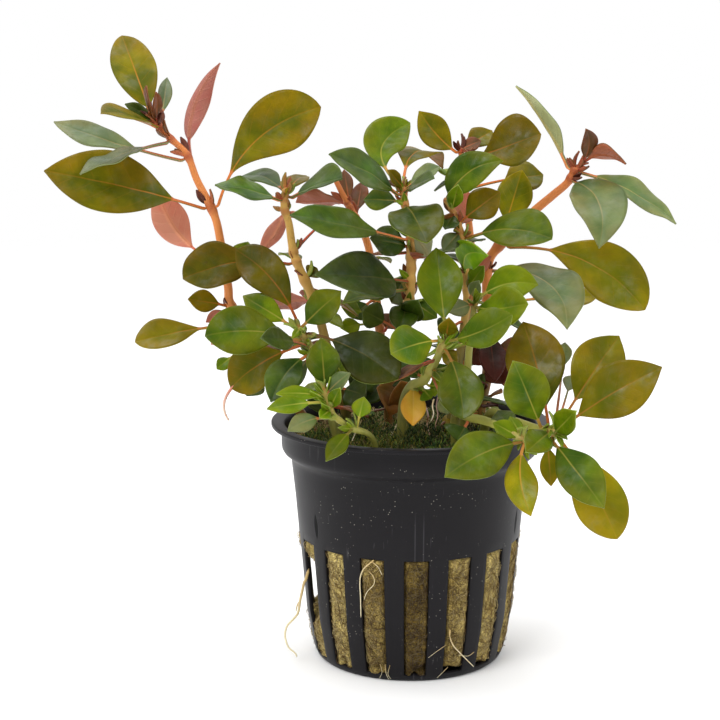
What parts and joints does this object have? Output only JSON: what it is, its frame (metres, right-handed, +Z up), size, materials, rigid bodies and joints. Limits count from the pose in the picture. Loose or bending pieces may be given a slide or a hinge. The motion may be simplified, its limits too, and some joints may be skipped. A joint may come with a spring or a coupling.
{
  "type": "ludwigia repens plant in a net pot",
  "caption": "Small bushy stem plant with olive, green and reddish leaves, rooted in mineral wool in a round black slotted net pot that stands on its flat base.",
  "frame": {"origin": "middle of the pot's flat base, on the surface that it stands on", "axes": "+Z up along the pot's axis; a viewer in front looks along +Y, with +X to the right"},
  "size_m": [0.1216, 0.0707, 0.1228],
  "materials": {
    "leaf_bright": "satin, light yellow-green",
    "leaf_brown": "satin, brown-olive",
    "leaf_dark": "satin, dark bluish green",
    "leaf_golden": "satin, golden olive-brown",
    "leaf_green": "satin, fresh green with a pale midrib",
    "leaf_olive": "satin, bronze-olive with an orange midrib",
    "leaf_pale": "satin, greyish green",
    "leaf_pink": "matt, pinkish red underside",
    "pot_plastic": "semi-gloss moulded black plastic, lightly dusty",
    "stem_orange": "smooth, faintly glossy",
    "stem_yellow": "smooth, faintly glossy",
    "wool": "matted brown and khaki mineral fibre"
  },
  "bodies": {
    "root": {"net_pot": "pot_plastic", "wool": "wool", "left_tall_stem": "stem_orange", "left_tall_leaf_top": "leaf_olive", "left_tall_leaf_low": "leaf_green", "left_tall_leaf_long": "leaf_green", "left_tall_leaf_front": "leaf_pale", "left_tall_leaf_pink": "leaf_pink", "left_tall_leaf_olive": "leaf_olive", "left_tall_leaf_behind": "leaf_pink", "left_tall_leaf_large": "leaf_olive", "left_tall_leaf_yellow": "leaf_golden", "left_stem": "stem_yellow", "left_leaf_left": "leaf_dark", "left_leaf_right": "leaf_dark", "left_leaf_olive": "leaf_olive", "left_centre_stem": "stem_orange", "centre_stem": "stem_yellow", "centre_leaf_dark_long": "leaf_dark", "centre_leaf_upper_left": "leaf_dark", "centre_leaf_back_left": "leaf_green", "centre_leaf_back_right": "leaf_olive", "centre_leaf_facing": "leaf_green", "centre_leaf_dark_low": "leaf_dark", "centre_right_stem": "stem_yellow", "centre_right_leaf_top": "leaf_green", "centre_right_leaf_right": "leaf_green", "back_right_stem": "stem_orange", "back_right_leaf_left": "leaf_olive", "back_right_leaf_large": "leaf_olive", "right_tall_stem": "stem_orange", "right_tall_leaf_narrow": "leaf_pale", "right_tall_leaf_hanging": "leaf_pale", "right_tall_leaf_right": "leaf_green", "right_tall_leaf_golden": "leaf_golden", "right_tall_leaf_grey": "leaf_pale", "right_small_stem": "stem_yellow", "front_centre_stem": "stem_yellow", "front_centre_leaf_up": "leaf_bright", "front_centre_leaf_right": "leaf_bright", "front_centre_leaf_left": "leaf_green", "front_centre_leaf_down": "leaf_green", "front_left_stem": "stem_yellow", "front_left_leaf_up_left": "leaf_olive", "front_left_leaf_left": "leaf_green", "front_left_leaf_low_left": "leaf_olive", "front_left_leaf_down": "leaf_dark", "front_left_leaf_right_up": "leaf_green", "front_left_leaf_right_down": "leaf_green", "front_sprout_stem": "stem_yellow", "lower_right_stem": "stem_yellow", "lower_right_leaf_left": "leaf_green", "lower_right_leaf_down": "leaf_golden", "far_right_stem": "stem_yellow", "far_right_leaf_up_left": "leaf_green", "far_right_leaf_olive": "leaf_brown", "far_right_leaf_upper_right": "leaf_golden", "far_right_leaf_right": "leaf_green", "far_right_leaf_low_green": "leaf_green", "far_right_leaf_low_golden": "leaf_golden"}
  },
  "joints": []
}
